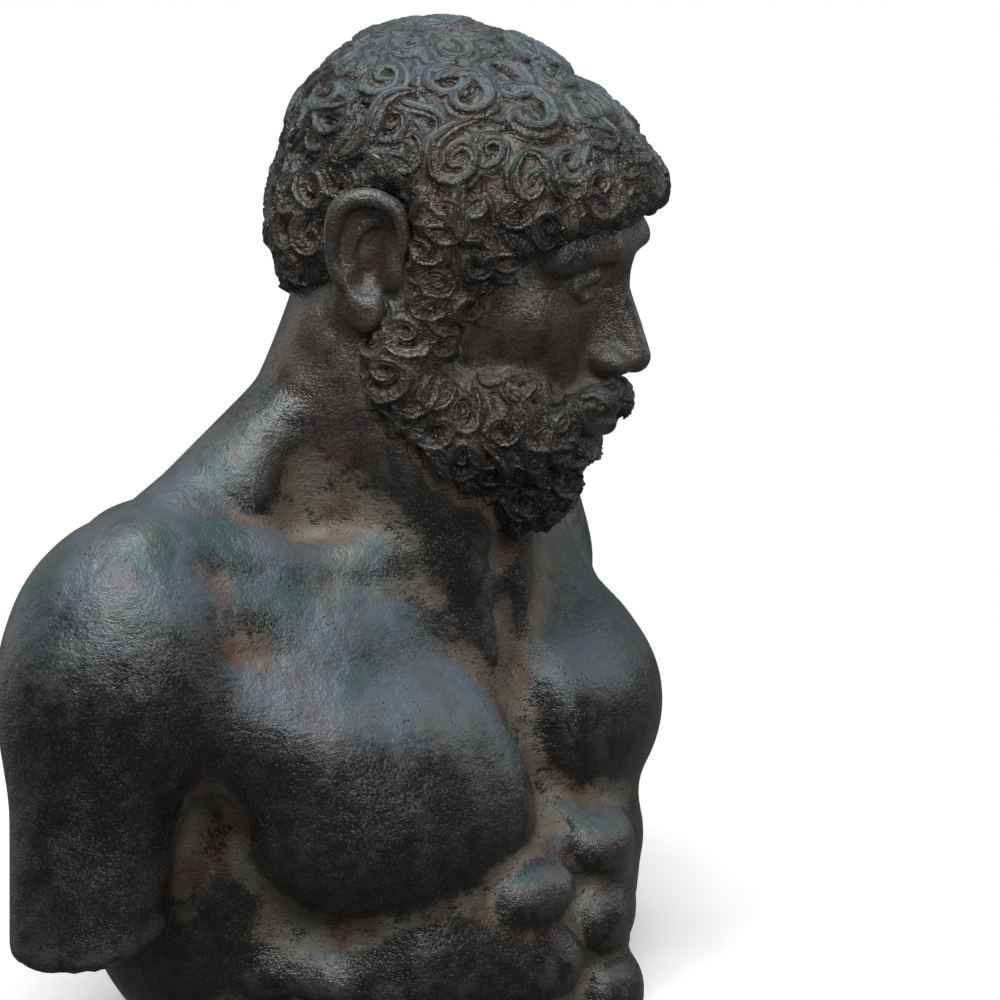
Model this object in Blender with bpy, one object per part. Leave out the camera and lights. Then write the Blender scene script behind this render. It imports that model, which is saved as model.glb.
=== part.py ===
"""Bronze statuette: the bust of a bearded man with curly hair, his head bowed and turned to his left.

The bust is one casting. It is modelled as clay: anatomical forms, each a ball or a tapering limb, are
pressed together in a field of distances, the surface of the field is taken as a mesh, and the locks of
hair and beard are raised on it. Places and radii are shares of the head's height, in a frame whose origin
is the pit of the neck. The figure faces -Y, its left is +X and up is +Z. The finished solid stands with
the centre of its flat underside at the origin.
"""

import math

import bmesh
import bpy
import numpy as np
import openvdb
from mathutils import Matrix

# The driving size, in metres: chin to crown of the skull, without hair and beard
HEAD_HEIGHT = 0.115

# Extent and pose, as shares of the head's height and in degrees
DEPTH_BELOW_NECK = 1.10
SHOULDER_REACH = 0.84
BACK_REACH = 0.74
UNDERSIDE_Z = -DEPTH_BELOW_NECK
UNDERSIDE_MIDDLE_Y = 0.22
FIELD_TOP_Z = 1.48
FIELD_HALF_WIDTH = SHOULDER_REACH + 0.52
FIELD_FRONT_Y = -0.62
FIELD_BACK_Y = BACK_REACH + 0.34
HEAD_MIDDLE = (0.03, 0.065, 0.785)
HEAD_BOW = 12
HEAD_TURN = 15
EAR_MIDDLE = (0.335, 0.105, -0.008)
EAR_SCALE = 1.14
ARM_END_Z = -0.78
ARM_END_SLOPE = 0.25
ARM_INNER_X = SHOULDER_REACH - 0.10

# His left side is drawn up and back with the arm: the breast, the belly and the shoulder
LEFT_BREAST_RISE = 0.17
LEFT_BELLY_RISE = 0.055
LEFT_SHOULDER_BACK = 0.07

# Fineness of the mesh
CELL = 0.021
HEAD_CUTS = 1
MOST_TRIANGLES = 9800

# Locks of hair
SEED = 11
ROOT_TRIES = 9000
ROOT_SPACING = 1.22
CURL_RADIUS = 0.050
CROWN_CURL_RADIUS = 0.066
LOCK_RELIEF = 1.3
WHORL = (0.0, 0.20, 0.52)

# Share of the places that carry a lock in each layer, and how much of it the crown goes without
LAYER_SHARES = (1.0, 0.9, 0.16)
CROWN_CALM = (0.0, 0.45, -1.0)

# Half width and relief of the long locks, in the layer below the curls and in the one over them
WAVE_FORMS = {0: (0.42, 0.6), 2: (0.28, 1.0)}

# How far a high lock reaches over the skin at the edge of the hair
HAIR_OVERLAP = 0.034

# Distance given to a point that no form is near, and the step that gradients are taken over
FAR = 0.6
STEP = 0.003

# Half sizes of the cubes that hold the head with its hair and one ear, about their middles
HEAD_REACH = 0.9
EAR_REACH = 0.35

BRONZE_COLOUR = (0.030, 0.032, 0.034, 1.0)
BRONZE_ROUGHNESS = 0.42
BRONZE_METALLIC = 0.75


def smooth_union(a, b, blend):
    overlap = np.maximum(blend - np.abs(a - b), 0) / blend
    return np.minimum(a, b) - overlap * overlap * blend / 4


def smooth_cut(a, b, blend):
    overlap = np.maximum(blend - np.abs(a + b), 0) / blend
    return np.maximum(a, -b) + overlap * overlap * blend / 4


def smooth_step(low, high, value):
    t = np.clip((value - low) / (high - low), 0, 1)
    return t * t * (3 - 2 * t)


def rotation(tilt):
    """3x3 matrix for turns about X, then Y, then Z, in degrees."""
    x, y, z = (math.radians(degrees) for degrees in tilt)
    matrix = Matrix.Rotation(z, 3, "Z") @ Matrix.Rotation(y, 3, "Y") @ Matrix.Rotation(x, 3, "X")
    return np.array(matrix, np.float32)


HEAD_AXES = rotation((HEAD_BOW, 0, HEAD_TURN))


def to_head(points):
    return (points - np.array(HEAD_MIDDLE, np.float32)) @ HEAD_AXES


def rounded(path, radii, parts=4):
    """The path and its radii with more points, on a smooth curve through those given."""
    rows = np.hstack([np.array(path), np.array(radii)[:, None]])
    rows = np.vstack([2 * rows[0] - rows[1], rows, 2 * rows[-1] - rows[-2]])
    curve = [rows[1]]
    for before, start, end, after in zip(rows, rows[1:], rows[2:], rows[3:]):
        for k in range(1, parts + 1):
            t = k / parts
            turn = (end - before) * t + (2 * before - 5 * start + 4 * end - after) * t ** 2
            curve.append(start + (turn + (3 * start - before - 3 * end + after) * t ** 3) / 2)
    curve = np.array(curve)
    return curve[:, :3], curve[:, 3].tolist()


def on_side(point, side):
    """The same place on the figure's left (side 1) or right (side -1)."""
    return (point[0] * side, point[1], point[2])


class Clay:
    """Distance from each of the points to forms that are pressed together."""

    def __init__(self, points):
        self.points = points
        self.distance = np.full(len(points), FAR, np.float32)

    def rows_near(self, low, high):
        inside = np.ones(len(self.points), bool)
        for axis in range(3):
            column = self.points[:, axis]
            inside &= (column > low[axis]) & (column < high[axis])
        return np.flatnonzero(inside)

    def join(self, rows, distance, blend, cut):
        combine = smooth_cut if cut else smooth_union
        self.distance[rows] = combine(self.distance[rows], distance, blend)

    def ball(self, at, radii, tilt=(0, 0, 0), blend=0.05, cut=False):
        at = np.array(at, np.float32)
        radii = np.array(radii, np.float32) * np.ones(3, np.float32)
        reach = max(radii) + blend + 0.1
        rows = self.rows_near(at - reach, at + reach)
        scaled = ((self.points[rows] - at) @ rotation(tilt)) / radii
        size = np.sqrt((scaled * scaled).sum(1)) + 1e-6
        slope = np.sqrt(((scaled / radii) ** 2).sum(1)) + 1e-6
        self.join(rows, size * (size - 1) / slope, blend, cut)

    def limb(self, path, radii, blend=0.05, cut=False):
        path = [np.array(point, np.float32) for point in path]
        radii = list(radii) if isinstance(radii, (list, tuple)) else [radii] * len(path)
        reach = max(radii) + blend + 0.1
        rows = self.rows_near(np.min(path, axis=0) - reach, np.max(path, axis=0) + reach)
        points = self.points[rows]
        distance = np.full(len(points), FAR, np.float32)
        for start, end, first, last in zip(path, path[1:], radii, radii[1:]):
            along = end - start
            t = np.clip(((points - start) @ along) / (along @ along), 0, 1)
            off = points - start - t[:, None] * along
            distance = np.minimum(distance, np.sqrt((off * off).sum(1)) - first - t * (last - first))
        self.join(rows, distance, blend, cut)


def trunk(clay):
    """Ribcage, belly and the column of the neck."""
    clay.ball((0, 0.38, -0.47), (0.66, 0.46, 0.86), (-12, 0, 0), 0.10)
    clay.ball((0, 0.14, -1.02), (0.55, 0.41, 0.62), blend=0.12)
    clay.ball((0, 0.27, -1.05), (0.62, 0.36, 0.60), blend=0.10)
    clay.limb([(0, 0.25, -0.10), (0, 0.15, 0.60)], [0.34, 0.29], 0.12)


def back(clay, side):
    """Trapezius, shoulder blade, broad back muscle and the muscle beside the spine."""
    slope = ((0.10, 0.235, 0.62), (0.24, 0.305, 0.36), (0.50, 0.44, 0.15),
             (SHOULDER_REACH - 0.04, 0.46, 0.06))
    clay.limb([on_side(point, side) for point in slope], [0.17, 0.17, 0.15, 0.13], 0.12)
    clay.ball(on_side((0.40, BACK_REACH, -0.22), side), (0.30, 0.17, 0.36), blend=0.10)
    clay.ball(on_side((0.56, 0.45, -0.58), side), (0.22, 0.34, 0.54), blend=0.10)
    beside_spine = ((0.17, BACK_REACH - 0.04, -0.30), (0.17, BACK_REACH - 0.16, UNDERSIDE_Z - 0.15))
    clay.limb([on_side(point, side) for point in beside_spine], [0.15, 0.16], 0.10)


def arm(clay, side):
    """Shoulder muscle and the stump of the upper arm."""
    drawn = LEFT_SHOULDER_BACK if side > 0 else 0.0
    middle = on_side((SHOULDER_REACH, 0.46 + drawn, -0.17), side)
    clay.ball(middle, (0.255, 0.28, 0.37), (0, -8 * side, 0), 0.06)
    upper = on_side((SHOULDER_REACH + 0.06, 0.47 + drawn, -0.20), side)
    lower = on_side((SHOULDER_REACH + 0.13, 0.46 + drawn, ARM_END_Z - 0.22), side)
    clay.limb([upper, lower], [0.20, 0.18], 0.08)


def chest(clay, side):
    """Breast muscle in four masses, collar bone, nipple and the long muscle at the side of the neck."""
    rise = LEFT_BREAST_RISE if side > 0 else 0.0
    clay.ball(on_side((0.46, 0.16, -0.19), side), (0.33, 0.16, 0.26), (-22, 0, 26 * side), 0.10)
    main_at = on_side((0.35, 0.06 - 0.1 * rise, -0.48 + 0.55 * rise), side)
    clay.ball(main_at, (0.39, 0.265, 0.33), (-10 - 115 * rise, 0, 14 * side), 0.06)
    low_at = on_side((0.32, -0.015 - 0.15 * rise, -0.575 + rise), side)
    clay.ball(low_at, (0.33, 0.22, 0.235), (-4, 0, 12 * side), 0.05)
    clay.ball(on_side((0.165, -0.10, -0.56 + rise), side), (0.125, 0.12, 0.16), blend=0.08)
    to_arm = ((0.55, 0.14, -0.36), (SHOULDER_REACH, 0.38, -0.20))
    clay.limb([on_side(point, side) for point in to_arm], [0.20, 0.13], 0.07)
    clay.ball(on_side((0.60, 0.30, -0.02), side), (0.15, 0.12, 0.11), (0, 0, 30 * side), 0.10)
    collar = ((0.07, 0.04, 0.0), (0.30, 0.11, 0.05), (0.56, 0.26, 0.10),
              (SHOULDER_REACH - 0.04, 0.40, 0.13))
    clay.limb([on_side(point, side) for point in collar], [0.04, 0.04, 0.045, 0.055], 0.09)
    clay.ball(on_side((0.42, 0.19, 0.24), side), (0.05, 0.06, 0.10), blend=0.12, cut=True)
    neck = ((0.24, 0.24, 0.60), (0.21, 0.06, 0.30), (0.09, 0.035, 0.03))
    clay.limb([on_side(point, side) for point in neck], [0.10, 0.095, 0.045], 0.05)
    nipple_at = on_side((0.50, -0.155, -0.49 + 0.8 * rise), side)
    clay.ball(nipple_at, (0.03, 0.010, 0.03), (0, 0, 30 * side), 0.03)


def belly(clay, side):
    """Upper belly, rim of the ribs, blocks of the straight muscle and the toothed muscle over the ribs."""
    rise = LEFT_BELLY_RISE if side > 0 else 0.0
    clay.ball(on_side((0.19, -0.03, -0.88 + 2.5 * rise), side), (0.37, 0.235, 0.26), blend=0.07)
    rim = ((0.03, -0.21, -0.68), (0.20, -0.22, -0.80), (0.38, -0.14, -0.94), (0.52, 0.0, -1.15))
    clay.limb([on_side((x, y, z + rise), side) for x, y, z in rim], [0.05, 0.055, 0.06, 0.06], 0.06)
    blocks = ((-0.745, 0.12, 0.07, -0.26), (-0.925, 0.15, 0.095, -0.265), (-1.125, 0.15, 0.11, -0.29))
    for middle_z, half_width, half_height, forward in blocks:
        at = on_side((0.155, forward, middle_z + rise), side)
        clay.ball(at, (half_width, 0.07, half_height), (-4, 0, 16 * side), 0.06)
    for row_z in (-0.87, -1.04):
        for across, deep in ((0.61, 0.19), (0.55, 0.06), (0.44, -0.03)):
            at = on_side((across, deep, row_z - 0.25 * (0.62 - across) + rise), side)
            clay.ball(at, (0.07, 0.10, 0.055), (20, 16 * side, 40 * side), 0.09)


def hollows(clay):
    """Pit of the neck, channel of the breast bone, line of the belly and furrow of the spine."""
    clay.ball((0, -0.11, 0.04), (0.05, 0.045, 0.055), blend=0.10, cut=True)
    breast_bone = ((0, -0.10, -0.10), (0, -0.165, -0.30), (0, -0.25, -0.60))
    clay.limb(breast_bone, [0.035, 0.03, 0.02], 0.07, cut=True)
    clay.limb([(0, -0.36, -0.70), (0, -0.365, UNDERSIDE_Z - 0.1)], 0.022, 0.06, cut=True)
    spine = ((0, BACK_REACH + 0.26, 0.10), (0, BACK_REACH + 0.21, -0.40),
             (0, BACK_REACH + 0.08, UNDERSIDE_Z - 0.1))
    clay.limb(spine, [0.10, 0.10, 0.09], 0.16, cut=True)


def torso(points):
    clay = Clay(points)
    trunk(clay)
    for side in (-1, 1):
        back(clay, side)
        arm(clay, side)
        chest(clay, side)
        belly(clay, side)
    hollows(clay)
    return clay.distance


def eye(clay, side):
    """Brow, socket, eyeball and both lids."""
    brow = ((0.02, -0.375, 0.075), (0.11, -0.385, 0.095), (0.21, -0.31, 0.065))
    clay.limb([on_side(point, side) for point in brow], [0.032, 0.038, 0.034], 0.05)
    clay.ball(on_side((0.122, -0.43, 0.0), side), (0.085, 0.075, 0.052), blend=0.045, cut=True)
    clay.ball(on_side((0.125, -0.305, -0.003), side), 0.062, blend=0.012)
    upper = ((0.062, -0.352, -0.006), (0.095, -0.372, 0.022), (0.13, -0.373, 0.026),
             (0.175, -0.345, 0.002))
    clay.limb([on_side(point, side) for point in upper], [0.011, 0.013, 0.014, 0.012], 0.01)
    lower = ((0.062, -0.352, -0.012), (0.10, -0.366, -0.030), (0.14, -0.362, -0.030),
             (0.178, -0.342, -0.008))
    clay.limb([on_side(point, side) for point in lower], [0.009, 0.011, 0.011, 0.009], 0.012)


def nose(clay):
    clay.limb([(0, -0.34, 0.06), (0, -0.37, -0.08), (0, -0.40, -0.17)], [0.04, 0.055, 0.062], 0.04)
    ridge = [(0, -0.375, 0.06), (0, -0.40, -0.02), (0, -0.445, -0.10), (0, -0.475, -0.165)]
    clay.limb(ridge, [0.034, 0.030, 0.034, 0.040], 0.03)
    for side in (-1, 1):
        clay.ball(on_side((0.048, -0.435, -0.183), side), (0.036, 0.048, 0.032), blend=0.025)
        clay.ball(on_side((0.026, -0.455, -0.213), side), (0.014, 0.024, 0.012), blend=0.012, cut=True)


def mouth(clay):
    clay.ball((0, -0.40, -0.31), (0.12, 0.055, 0.07), blend=0.05)
    upper_lip = ((-0.085, -0.41, -0.30), (0, -0.445, -0.297), (0.085, -0.41, -0.30))
    clay.limb(upper_lip, [0.016, 0.026, 0.016], 0.02)
    lower_lip = ((-0.075, -0.405, -0.335), (0, -0.44, -0.342), (0.075, -0.405, -0.335))
    clay.limb(lower_lip, [0.018, 0.028, 0.018], 0.02)
    clay.limb([(-0.10, -0.43, -0.318), (0, -0.475, -0.318), (0.10, -0.43, -0.318)], 0.007, 0.014, cut=True)


def face(points):
    """The head without its hair, in the head's own frame: chin at -0.5, crown at 0.5."""
    clay = Clay(points)
    clay.ball((0, 0.04, 0.12), (0.325, 0.39, 0.345))
    clay.ball((0, -0.15, -0.16), (0.25, 0.23, 0.33), blend=0.10)
    clay.ball((0, -0.10, -0.30), (0.235, 0.22, 0.17), blend=0.08)
    clay.ball((0, -0.24, 0.15), (0.24, 0.16, 0.20), blend=0.08)
    clay.ball((0, -0.33, -0.43), (0.10, 0.09, 0.09), blend=0.06)
    for side in (-1, 1):
        clay.ball(on_side((0.165, -0.25, -0.095), side), (0.085, 0.07, 0.06), blend=0.10)
        eye(clay, side)
    nose(clay)
    mouth(clay)
    return clay.distance


def ear(points, side):
    """One ear about its own middle: the shell, its rim, lobe and back, and the hollows inside the rim."""
    clay = Clay(points)
    clay.ball(on_side((-0.03, 0.0, -0.03), side), (0.045, 0.075, 0.13), (14, 0, -18 * side), 0.03)
    rim = ((0.015, -0.05, -0.015), (0.020, -0.065, 0.04), (0.033, -0.04, 0.102), (0.050, 0.02, 0.118),
           (0.063, 0.07, 0.085), (0.060, 0.073, 0.02), (0.043, 0.05, -0.05), (0.027, 0.01, -0.105))
    thickness = [0.014, 0.017, 0.019, 0.021, 0.021, 0.019, 0.017, 0.02]
    clay.limb(*rounded([on_side(point, side) for point in rim], thickness), 0.018)
    clay.ball(on_side((0.017, -0.015, -0.125), side), (0.026, 0.035, 0.045), (14, 0, 0), 0.03)
    clay.ball(on_side((0.010, 0.012, 0.020), side), (0.034, 0.082, 0.112), (14, 0, -22 * side), 0.02)
    clay.ball(on_side((-0.025, -0.01, 0.015), side), (0.05, 0.10, 0.12), (14, 0, -18 * side), 0.02)
    shell_at = on_side((0.050, 0.01, 0.02), side)
    clay.ball(shell_at, (0.045, 0.045, 0.065), (14, 0, -18 * side), 0.025, cut=True)
    clay.ball(on_side((0.037, -0.01, -0.035), side), (0.04, 0.032, 0.045), (14, 0, 0), 0.02, cut=True)
    fold = ((0.017, 0.03, -0.065), (0.027, 0.043, -0.01), (0.027, 0.03, 0.045), (0.017, -0.01, 0.075))
    clay.limb(*rounded([on_side(point, side) for point in fold], [0.013, 0.015, 0.014, 0.01]), 0.018)
    clay.ball(on_side((0.002, -0.058, -0.030), side), (0.028, 0.024, 0.038), blend=0.02)
    return clay.distance


def ears(points):
    distance = np.full(len(points), FAR, np.float32)
    for side in (-1, 1):
        off = points - np.array(on_side(EAR_MIDDLE, side), np.float32)
        rows = np.flatnonzero((np.abs(off) < EAR_REACH).all(1))
        near = ear(off[rows] / EAR_SCALE, side) * EAR_SCALE
        distance[rows] = np.minimum(distance[rows], near)
    return distance


def hair(points):
    """The mass of the hair and the beard in the head's own frame, open round the ears and the face."""
    clay = Clay(points)
    clay.ball((0, 0.05, 0.105), (0.367, 0.397, 0.355))
    clay.ball((0, 0.13, 0.205), (0.30, 0.26, 0.255), blend=0.10)
    clay.ball((0, -0.17, 0.20), (0.30, 0.26, 0.165), blend=0.13)
    clay.ball((0, 0.265, -0.035), (0.29, 0.168, 0.205), blend=0.08)
    clay.ball((0, -0.255, -0.45), (0.15, 0.13, 0.14), blend=0.06)
    clay.ball((0, -0.34, -0.42), (0.11, 0.075, 0.06), blend=0.05)
    for side in (-1, 1):
        jaw = ((0.27, -0.05, 0.10), (0.27, -0.02, -0.12), (0.262, -0.005, -0.27), (0.19, -0.11, -0.41),
               (0.0, -0.245, -0.52))
        clay.limb([on_side(point, side) for point in jaw], [0.09, 0.085, 0.105, 0.12, 0.115], 0.07)
        moustache = ((0.015, -0.435, -0.258), (0.075, -0.42, -0.278), (0.13, -0.36, -0.34),
                     (0.15, -0.29, -0.42))
        clay.limb([on_side(point, side) for point in moustache], [0.026, 0.032, 0.04, 0.06], 0.03)
        clay.ball(on_side((0.17, -0.225, -0.33), side), (0.10, 0.12, 0.13), blend=0.06)
        clay.ball(on_side((0.36, 0.10, -0.003), side), (0.075, 0.10, 0.17), (14, 0, 0), 0.04, cut=True)
    clay.ball((0, -0.47, 0.035), (0.42, 0.32, 0.145), blend=0.04, cut=True)
    clay.ball((0, -0.47, -0.09), (0.38, 0.32, 0.155), blend=0.04, cut=True)
    return clay.distance


def bare_head(points):
    return smooth_union(face(points), ears(points), 0.02)


def skin_and_hair(points):
    skin = torso(points)
    locks = np.full(len(points), FAR, np.float32)
    around = to_head(points)
    rows = np.flatnonzero((np.abs(around) < HEAD_REACH).all(1))
    near = np.ascontiguousarray(around[rows])
    locks[rows] = hair(near)
    skin[rows] = smooth_union(skin[rows], bare_head(near), 0.05)
    return skin, locks


def bust(points):
    """Distance to the whole bust before its locks are raised, with the arms cut short."""
    skin, locks = skin_and_hair(points)
    distance = smooth_union(skin, locks, 0.02)
    for side in (-1, 1):
        out = points[:, 0] * side
        above_end = points[:, 2] - ARM_END_Z + ARM_END_SLOPE * (out - 1.0)
        distance = smooth_cut(distance, np.maximum(above_end, ARM_INNER_X - out), 0.02)
    return distance


def directions(field, points):
    """Unit vectors that point away from the surface."""
    slope = np.empty((len(points), 3), np.float32)
    for axis in range(3):
        shift = np.zeros(3, np.float32)
        shift[axis] = STEP
        slope[:, axis] = field(points + shift) - field(points - shift)
    return slope / (np.linalg.norm(slope, axis=1, keepdims=True) + 1e-9)


def settled(points):
    """The points moved onto the surface of the bust."""
    for _ in range(2):
        points = points - directions(bust, points) * bust(points)[:, None] * 0.9
    return points


def lie_of_hair(point):
    """The way the hair lies: out from the whorl at the crown, and down and forward in the beard."""
    away = point - np.array(WHORL, np.float32)
    away /= np.linalg.norm(away) + 1e-6
    in_beard = np.clip((-0.05 - point[2]) / 0.15, 0, 1) * np.clip((0.1 - point[1]) / 0.1, 0, 1)
    return away * (1 - in_beard) + np.array((0.0, -0.5, -1.0), np.float32) * in_beard


def curl_radius(point):
    at_crown = np.clip((point[2] - 0.10) / 0.25, 0, 1)
    return CURL_RADIUS + (CROWN_CURL_RADIUS - CURL_RADIUS) * at_crown


def head_shell(points):
    return np.minimum(hair(points), bare_head(points))


def lock_roots(rng):
    """Places of the curls, spread evenly over the hair: rays from inside the head that meet it."""
    rays = rng.normal(size=(ROOT_TRIES, 3)).astype(np.float32)
    rays /= np.linalg.norm(rays, axis=1, keepdims=True)
    reach = np.full(ROOT_TRIES, HEAD_REACH, np.float32)
    for _ in range(40):
        reach -= np.clip(head_shell(rays * reach[:, None]), -0.05, 0.05) * 0.7
    spots = rays * reach[:, None]
    spots = spots[(hair(spots) < 0.012) & (np.abs(head_shell(spots)) < 0.01)]
    roots = np.empty((0, 3), np.float32)
    radii = []
    for spot in spots:
        radius = curl_radius(spot)
        if len(roots) and (np.linalg.norm(roots - spot, axis=1) < radius * ROOT_SPACING).any():
            continue
        roots = np.vstack([roots, spot])
        radii.append(radius)
    return roots, radii


def curl_path(radius, hand, turns, tail):
    """A lock seen from above, as rows of (along, across, half width): a tail that bends into a spiral."""
    steps = []
    for k in range(5):
        t = k / 5
        steps.append((-tail * (1 - t), 1.0 - 0.75 * (1 - t) ** 2, 0.10 + 0.26 * t))
    count = int(turns * 12)
    for k in range(count + 1):
        t = k / count
        angle = math.pi / 2 - t * turns * 2 * math.pi
        r = 1.0 - 0.78 * t ** 0.8
        steps.append((1.15 * r * math.cos(angle), r * math.sin(angle), 0.36 - 0.15 * t))
    return np.array(steps, np.float32) * radius * np.array((1, hand, 1), np.float32)


def wave_path(radius, hand, bend, width):
    """A long lock with an S bend, in the same rows as a curl."""
    steps = []
    for k in range(13):
        t = k / 12
        across = bend * math.sin(t * 2 * math.pi)
        steps.append((3.0 * (t - 0.5), across, 0.10 + width * math.sin(math.pi * t) ** 0.7))
    return np.array(steps, np.float32) * radius * np.array((1, hand, 1), np.float32)


def lift_of_lock(flat, path, level, relief):
    """Height of one lock over points given in its own plane."""
    off = np.full(len(flat), 9.0, np.float32)
    width = np.full(len(flat), 1e-3, np.float32)
    for (ax, ay, aw), (bx, by, bw) in zip(path, path[1:]):
        dx, dy = bx - ax, by - ay
        t = np.clip(((flat[:, 0] - ax) * dx + (flat[:, 1] - ay) * dy) / (dx * dx + dy * dy), 0, 1)
        ox = flat[:, 0] - ax - t * dx
        oy = flat[:, 1] - ay - t * dy
        w = aw + t * (bw - aw)
        here = np.sqrt(ox * ox + oy * oy) / w
        nearer = here < off
        off[nearer] = here[nearer]
        width[nearer] = w[nearer]
    back_of_lock = np.sqrt(np.clip(1 - off * off, 0, 1))
    return np.where(off < 1, relief * width * back_of_lock + level, 0)


def raise_lock(height, spots, facing, middle, out, way, path, level, relief):
    """Raises one lock where it lies higher than those already there."""
    reach = np.abs(path[:, :2]).max() + path[:, 2].max()
    rows = np.flatnonzero((np.abs(spots - middle) < reach).all(1))
    off = spots[rows] - middle
    same_side = (np.abs(off @ out) < reach * 0.7) & (facing[rows] @ out > 0.2)
    rows = rows[same_side]
    off = spots[rows] - middle
    flat = np.stack([off @ way, off @ np.cross(out, way)], 1)
    height[rows] = np.maximum(height[rows], lift_of_lock(flat, path, level, relief))


def lock_heights(spots, facing):
    """How far each place of the hair rises: long locks first, then curls, then long locks across them."""
    rng = np.random.default_rng(SEED)
    roots, radii = lock_roots(rng)
    outs = directions(hair, roots)
    height = np.zeros(len(spots), np.float32)
    for layer, share in enumerate(LAYER_SHARES):
        chances = rng.random((len(roots), 8))
        for root, radius, out, chance in zip(roots, radii, outs, chances):
            at_crown = np.clip((root[2] - 0.22) / 0.2, 0, 1)
            if chance[7] > share * (1 - at_crown * CROWN_CALM[layer]):
                continue
            way = lie_of_hair(root)
            way -= out * (way @ out)
            way /= np.linalg.norm(way) + 1e-6
            swing = (chance[0] - 0.5) * 2.6
            across = np.cross(out, way)
            way = way * math.cos(swing) + across * math.sin(swing)
            hand = 1 if chance[1] > 0.5 else -1
            radius *= 0.8 + 0.4 * chance[2]
            rise = radius * (0.02 + 0.16 * layer * (0.3 + 0.7 * chance[6]))
            if layer == 1:
                path = curl_path(radius, hand, 0.65 + 0.75 * chance[4], 0.7 + 1.2 * chance[5])
                raise_lock(height, spots, facing, root, out, way, path, rise, LOCK_RELIEF)
            else:
                middle = root + across * (chance[3] - 0.5) * radius * 2
                width, relief = WAVE_FORMS[layer]
                path = wave_path(radius, hand, 0.25 + 0.45 * chance[4], width)
                relief *= LOCK_RELIEF
                raise_lock(height, spots, facing, middle, out, way, path, rise, relief)
    return height


def surface_mesh():
    """Mesh of squares over the bust's surface, from the field on a grid of cells."""
    low = np.array((-FIELD_HALF_WIDTH, FIELD_FRONT_Y, UNDERSIDE_Z - 4 * CELL), np.float32)
    high = np.array((FIELD_HALF_WIDTH, FIELD_BACK_Y, FIELD_TOP_Z), np.float32)
    counts = np.ceil((high - low) / CELL).astype(int)
    axes = [low[k] + CELL * np.arange(counts[k], dtype=np.float32) for k in range(3)]
    cells = np.stack(np.meshgrid(*axes, indexing="ij"), -1).reshape(-1, 3)
    values = bust(cells).reshape(counts)
    # The lowest layer is outside, so that the surface closes below the underside
    values[:, :, 0] = CELL
    grid = openvdb.FloatGrid(FAR)
    grid.copyFromArray(values)
    points, squares = grid.convertToQuads(0)
    mesh = bpy.data.meshes.new("bust")
    mesh.from_pydata((points * CELL + low).tolist(), [], squares.tolist())
    return mesh


def on_head(point):
    """Whether a point belongs to the head, its beard included."""
    x, y, z = to_head(np.array(point, np.float32)[None])[0]
    lowest = -0.36 + min(y + 0.05, 0.0)
    return z > max(lowest, -0.75)


def refine_head(mesh):
    bm = bmesh.new()
    bm.from_mesh(mesh)
    flags = {vert: on_head(vert.co) for vert in bm.verts}
    edges = [edge for edge in bm.edges if all(flags[vert] for vert in edge.verts)]
    bmesh.ops.subdivide_edges(bm, edges=edges, cuts=HEAD_CUTS, use_grid_fill=True)
    bmesh.ops.recalc_face_normals(bm, faces=bm.faces[:])
    bm.to_mesh(mesh)
    bm.free()


def smoothed_places(mesh, rounds):
    """The vertices after a number of rounds in which each moves halfway to the mean of its neighbours."""
    count = len(mesh.vertices)
    places = np.empty(count * 3, np.float32)
    mesh.vertices.foreach_get("co", places)
    places = places.reshape(-1, 3)
    ends = np.empty(len(mesh.edges) * 2, np.int32)
    mesh.edges.foreach_get("vertices", ends)
    first, second = ends.reshape(-1, 2).T
    neighbours = np.bincount(first, minlength=count) + np.bincount(second, minlength=count)
    for _ in range(rounds):
        total = np.empty_like(places)
        for axis in range(3):
            column = places[:, axis]
            total[:, axis] = np.bincount(first, column[second], count)
            total[:, axis] += np.bincount(second, column[first], count)
        places = (places + total / neighbours[:, None]) / 2
    return places


def carve(mesh):
    """Settles the mesh on the bust's surface and raises the locks."""
    for rounds in (0, 4):
        points = settled(smoothed_places(mesh, rounds))
        mesh.vertices.foreach_set("co", points.ravel())
    outward = directions(bust, points)
    skin, locks = skin_and_hair(points)
    rows = np.flatnonzero(skin - locks > -HAIR_OVERLAP)
    lift = lock_heights(to_head(points[rows]), outward[rows] @ HEAD_AXES)
    # The edge of the hair runs round its locks: a high one reaches out over the skin
    edge = (skin - locks)[rows] + lift - HAIR_OVERLAP / 2
    lift *= smooth_step(-0.008, 0.010, edge)
    points[rows] += outward[rows] * lift[:, None]
    mesh.vertices.foreach_set("co", points.ravel())


def simplified(mesh):
    """The mesh with few enough triangles."""
    guide = bpy.data.objects.new("guide", mesh)
    bpy.context.scene.collection.objects.link(guide)
    decimate = guide.modifiers.new("fewer triangles", "DECIMATE")
    decimate.ratio = MOST_TRIANGLES / sum(len(face.vertices) - 2 for face in mesh.polygons)
    graph = bpy.context.evaluated_depsgraph_get()
    result = bpy.data.meshes.new_from_object(guide.evaluated_get(graph))
    bpy.data.objects.remove(guide)
    return result


def cut_flat_below(mesh):
    bm = bmesh.new()
    bm.from_mesh(mesh)
    whole = bm.verts[:] + bm.edges[:] + bm.faces[:]
    cut = bmesh.ops.bisect_plane(bm, geom=whole, dist=1e-5, plane_co=(0, 0, UNDERSIDE_Z),
                                 plane_no=(0, 0, -1), clear_outer=True)
    edge_loop = [item for item in cut["geom_cut"] if isinstance(item, bmesh.types.BMEdge)]
    bmesh.ops.contextual_create(bm, geom=edge_loop)
    bmesh.ops.recalc_face_normals(bm, faces=bm.faces[:])
    bm.to_mesh(mesh)
    bm.free()


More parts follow.
